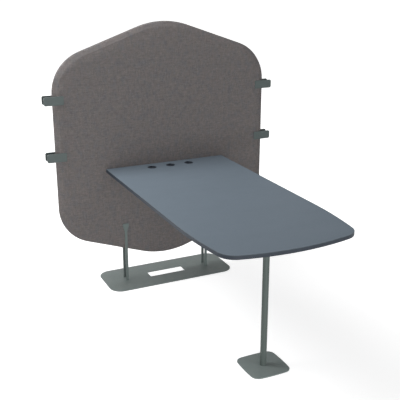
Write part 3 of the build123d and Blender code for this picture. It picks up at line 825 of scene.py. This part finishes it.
# Desk top: a 20 mm board with a matt blue-grey facing of fine, even grain, pressed on hot.
# Its back edge butts against the screen, and cables drop through three round holes.
facing_blue_grey = (99, 109, 118)
facing_fleck_light = (109, 119, 128)
facing_fleck_dark = (90, 100, 110)
facing_gloss = 0.06
facing_roughness = (0.57, 0.62)
facing_clouding = (0.98, 1.02)
light_fleck_span = (0.50, 0.70)
dark_fleck_span = (0.50, 0.30)
most_fleck = 0.35
wipe_stretch = (1.0, 5.0, 1.0)
facing_relief = 0.00003
facing_edge_round = 0.0003
top, top_tree, top_shader = start_material("blue_grey_facing")
top_shader.inputs["Specular IOR Level"].default_value = facing_gloss
top_place = own_place(top_tree)
top_flecks = noise(top_tree, top_place, per_metre=420.0, detail=3.0, rough=0.6)
top_clouds = noise(top_tree, top_place, per_metre=7.0, detail=4.0, rough=0.6)
wipe_marks = noise(top_tree, top_place, per_metre=3.0, detail=5.0, rough=0.62, stretch=wipe_stretch)
top_grain = noise(top_tree, top_place, per_metre=1500.0)
light_flecks = spread(top_tree, top_flecks, light_fleck_span, (0.0, most_fleck))
dark_flecks = spread(top_tree, top_flecks, dark_fleck_span, (0.0, most_fleck))
with_light = blend_colours(top_tree, light_flecks, shade(*facing_blue_grey), shade(*facing_fleck_light))
with_dark = blend_colours(top_tree, dark_flecks, with_light, shade(*facing_fleck_dark))
top_colour = brighten(top_tree, with_dark, spread(top_tree, top_clouds, noise_span, facing_clouding))
top_roughness = spread(top_tree, wipe_marks, noise_span, facing_roughness)
finish_surface(top_tree, top_shader, top_colour, top_roughness, top_grain, facing_relief, facing_edge_round)
dress(["desk_top"], top)

# Edge band: a 2 mm band in a darker blue-grey, glued round the board, rounded above and bevelled below.
# Its upper round carries a painted highlight, and its lower bevel a painted shade.
band_blue_grey = (48, 54, 62)
band_round_highlight_grey = (75, 83, 89)
band_streak_and_bevel_shade_grey = (38, 45, 53)
band_worn_grey = (92, 98, 105)
band_round_start = 0.0030
band_round_end = 0.0006
band_bevel_start = 0.0040
band_bevel_end = 0.0030
band_gloss = 0.2
band_dullness = (0.48, 0.60)
streak_stretch = (1.0, 1.0, 30.0)
most_streak = 0.25
band_relief = 0.00004
band_edge_round = 0.0004
band_low, band_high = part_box("desk_edge_band")
band, band_tree, band_shader = start_material("edge_band_laminate")
band_shader.inputs["Specular IOR Level"].default_value = band_gloss
band_place = own_place(band_tree)
band_z = along_axis(band_tree, band_place, "Z")
# Painted highlight along the band's upper round and painted shade along its lower bevel.
upper_round_highlight = spread(band_tree, band_z, (band_high.z - band_round_start, band_high.z - band_round_end))
lower_bevel_shade = spread(band_tree, band_z, (band_low.z + band_bevel_start, band_low.z + band_bevel_end))
band_blobs = noise(band_tree, band_place, per_metre=24.0, detail=4.0, rough=0.6, stretch=streak_stretch)
band_streaks = spread(band_tree, band_blobs, noise_span, (0.0, most_streak))
# The streaks use the same dark grey as the bevel's painted shade.
band_mixed = blend_colours(band_tree, band_streaks, shade(*band_blue_grey), shade(*band_streak_and_bevel_shade_grey))
band_with_highlight = blend_colours(band_tree, upper_round_highlight, band_mixed, shade(*band_round_highlight_grey))
band_with_shade = blend_colours(band_tree, lower_bevel_shade, band_with_highlight, shade(*band_streak_and_bevel_shade_grey))
band_rub = place_group(band_tree, edge_rub, Width=0.0012, Patches=25.0, Amount=0.18)["Mask"]
band_colour = blend_colours(band_tree, band_rub, band_with_shade, shade(*band_worn_grey))
band_roughness = spread(band_tree, band_blobs, noise_span, band_dullness)
band_grain = noise(band_tree, band_place, per_metre=1300.0)
finish_surface(
    band_tree, band_shader, band_colour, band_roughness, band_grain, band_relief, band_edge_round
)
dress(["desk_edge_band"], band)

# Cable outlets: flanged liners pushed into the holes of the desk top, moulded in dark blue-grey plastic.
# A cover with a notch for the cables turns in each liner, and fingers have polished it a little.
outlet_navy = (21, 27, 35)
outlet_handled = (50, 55, 64)
cover_navy = (18, 24, 33)
outlet_names = ("left", "middle", "right")
liner_plastic = plastic("liner_plastic", outlet_navy, outlet_handled, wear=0.35, grain_per_metre=1600.0)
cover_plastic = plastic("cover_plastic", cover_navy, outlet_handled, wear=0.45, grain_per_metre=1900.0)
dress([f"{name}_outlet_liner" for name in outlet_names], liner_plastic)
dress([f"{name}_outlet_cover" for name in outlet_names], cover_plastic)

# Brackets: two angles bent from 4 mm steel under the back of the desk top, coated like the posts, with
# painted shade that makes them darker.
# They are screwed to the screen's inserts and to the board.
bracket_painted_shade_grey_green = (92, 102, 100)
bracket_coat = coated_steel("bracket_coat", bracket_painted_shade_grey_green, speckle=0.10, rub=0.25, dust=0.0)
dress(["left_desk_bracket", "right_desk_bracket"], bracket_coat)

# Leg: a round tube of 32 mm welded to a square plate that is screwed under the board.
# Both are coated like the posts, with more painted shade that makes them darker, and with a smoother skin.
leg_painted_shade_grey_green = (81, 90, 87)
leg_coat = coated_steel("leg_coat", leg_painted_shade_grey_green, speckle=0.08, rub=0.08, dust=0.03)
dress(["leg_tube", "leg_top_plate"], leg_coat)

# Foot: a square plate with softly bowed sides and large round corners, held to the leg by one screw.
# It is coated like the floor plate, with painted light that makes it lighter against the desk's shadow over
# it, and shoes have rubbed its edge.
foot_painted_light_grey_green = (122, 132, 130)
dress(["foot_plate"], coated_steel("foot_plate_coat", foot_painted_light_grey_green, speckle=0.12, rub=0.15, dust=0.15))

# Room: a wide pale floor that ends white, a white surround and five soft lamps. One stands low in
# front, one hangs high on the right, one over the screen and one to its left, and one stands behind.
floor_reach = 45.0
floor_drop = 0.0004
floor_paleness = 0.70
floor_glow = 0.70
floor_fade = (1.4, 3.2)
surround_grey = 0.17
white = (1.0, 1.0, 1.0, 1.0)


def seen_rays(tree):
    """Returns 1 for what the camera sees, straight or in a gloss or glass, and 0 for what only lights."""
    rays = put(tree, "ShaderNodeLightPath").outputs
    mirrored = maths(tree, "MAXIMUM", rays["Is Glossy Ray"], rays["Is Transmission Ray"])
    return maths(tree, "MAXIMUM", rays["Is Camera Ray"], mirrored)


floor_mesh = bpy.data.meshes.new("floor")
floor_corners = [
    (-floor_reach, -floor_reach, -floor_drop),
    (floor_reach, -floor_reach, -floor_drop),
    (floor_reach, floor_reach, -floor_drop),
    (-floor_reach, floor_reach, -floor_drop),
]
floor_mesh.from_pydata(floor_corners, [], [(0, 1, 2, 3)])
floor = bpy.data.objects.new("floor", floor_mesh)
bpy.context.scene.collection.objects.link(floor)
floor_paint = bpy.data.materials.new("pale_floor")
floor_paint.use_nodes = True
floor_tree = floor_paint.node_tree
floor_tree.nodes.clear()
floor_colour = (floor_paleness, floor_paleness, floor_paleness, 1.0)
floor_matt = put(floor_tree, "ShaderNodeBsdfDiffuse", {"Color": floor_colour}).outputs[0]
floor_place = own_place(floor_tree)
away = put(floor_tree, "ShaderNodeVectorMath", {0: floor_place}, operation="LENGTH").outputs["Value"]
whiter_away = spread(floor_tree, away, floor_fade, (floor_glow, 1.0))
glow = maths(floor_tree, "MULTIPLY", seen_rays(floor_tree), whiter_away)
floor_light = put(floor_tree, "ShaderNodeEmission", {"Color": white, "Strength": glow}).outputs[0]
floor_both = put(floor_tree, "ShaderNodeAddShader", {0: floor_matt, 1: floor_light}).outputs[0]
put(floor_tree, "ShaderNodeOutputMaterial", {"Surface": floor_both})
floor_mesh.materials.append(floor_paint)

surround = bpy.data.worlds.new("surround")
bpy.context.scene.world = surround
surround.use_nodes = True
sky_tree = surround.node_tree
sky_tree.nodes.clear()
sky_strength = spread(sky_tree, seen_rays(sky_tree), (0.0, 1.0), (surround_grey, 1.0))
sky = put(sky_tree, "ShaderNodeBackground", {"Color": white, "Strength": sky_strength}).outputs[0]
put(sky_tree, "ShaderNodeOutputWorld", {"Surface": sky})


def soft_lamp(name, place, size, power, target):
    """A soft lamp with a width and a height that looks at a point."""
    lamp = bpy.data.lights.new(name, "AREA")
    lamp.shape = "RECTANGLE"
    lamp.size, lamp.size_y = size
    lamp.energy = power
    holder = bpy.data.objects.new(name, lamp)
    holder.location = place
    holder.rotation_euler = (Vector(target) - Vector(place)).to_track_quat("-Z", "Y").to_euler()
    holder.visible_camera = False
    bpy.context.scene.collection.objects.link(holder)


soft_lamp("front_lamp", place=(-1.3, -7.4, 0.75), size=(4.0, 1.5), power=365.0, target=(0.0, 0.6, 0.5))
soft_lamp("right_lamp", place=(2.5, -4.0, 4.5), size=(2.0, 2.0), power=38.0, target=(0.0, 0.3, 0.3))
soft_lamp("overhead_lamp", place=(-0.7, 0.7, 3.0), size=(1.2, 1.2), power=20.0, target=(-0.1, 0.3, 0.0))
soft_lamp("left_lamp", place=(-2.0, 0.75, 3.2), size=(1.6, 1.6), power=100.0, target=(-0.1, 0.3, 0.7))
soft_lamp("rear_lamp", place=(-2.0, 8.0, 1.5), size=(4.0, 4.0), power=220.0, target=(0.0, 0.6, 0.8))

# Camera: stands as the photograph's did, a good metre above the desk, in front of it and to the left.
# Its place, tilt and lens come from the straight edges and discs in the photograph.
camera_place = (-1.6320, -3.2984, 1.9271)
camera_tilt = (71.394, 0.0, -25.179)
camera_lens = 66.322
camera_sensor_width = 36.0
camera_reach = 200.0
camera_data = bpy.data.cameras.new("camera")
camera_data.lens = camera_lens
camera_data.sensor_width = camera_sensor_width
camera_data.clip_end = camera_reach
camera = bpy.data.objects.new("camera", camera_data)
camera.location = camera_place
camera.rotation_euler = [math.radians(angle) for angle in camera_tilt]
bpy.context.scene.collection.objects.link(camera)
bpy.context.scene.camera = camera
bpy.context.scene.view_settings.view_transform = "Standard"
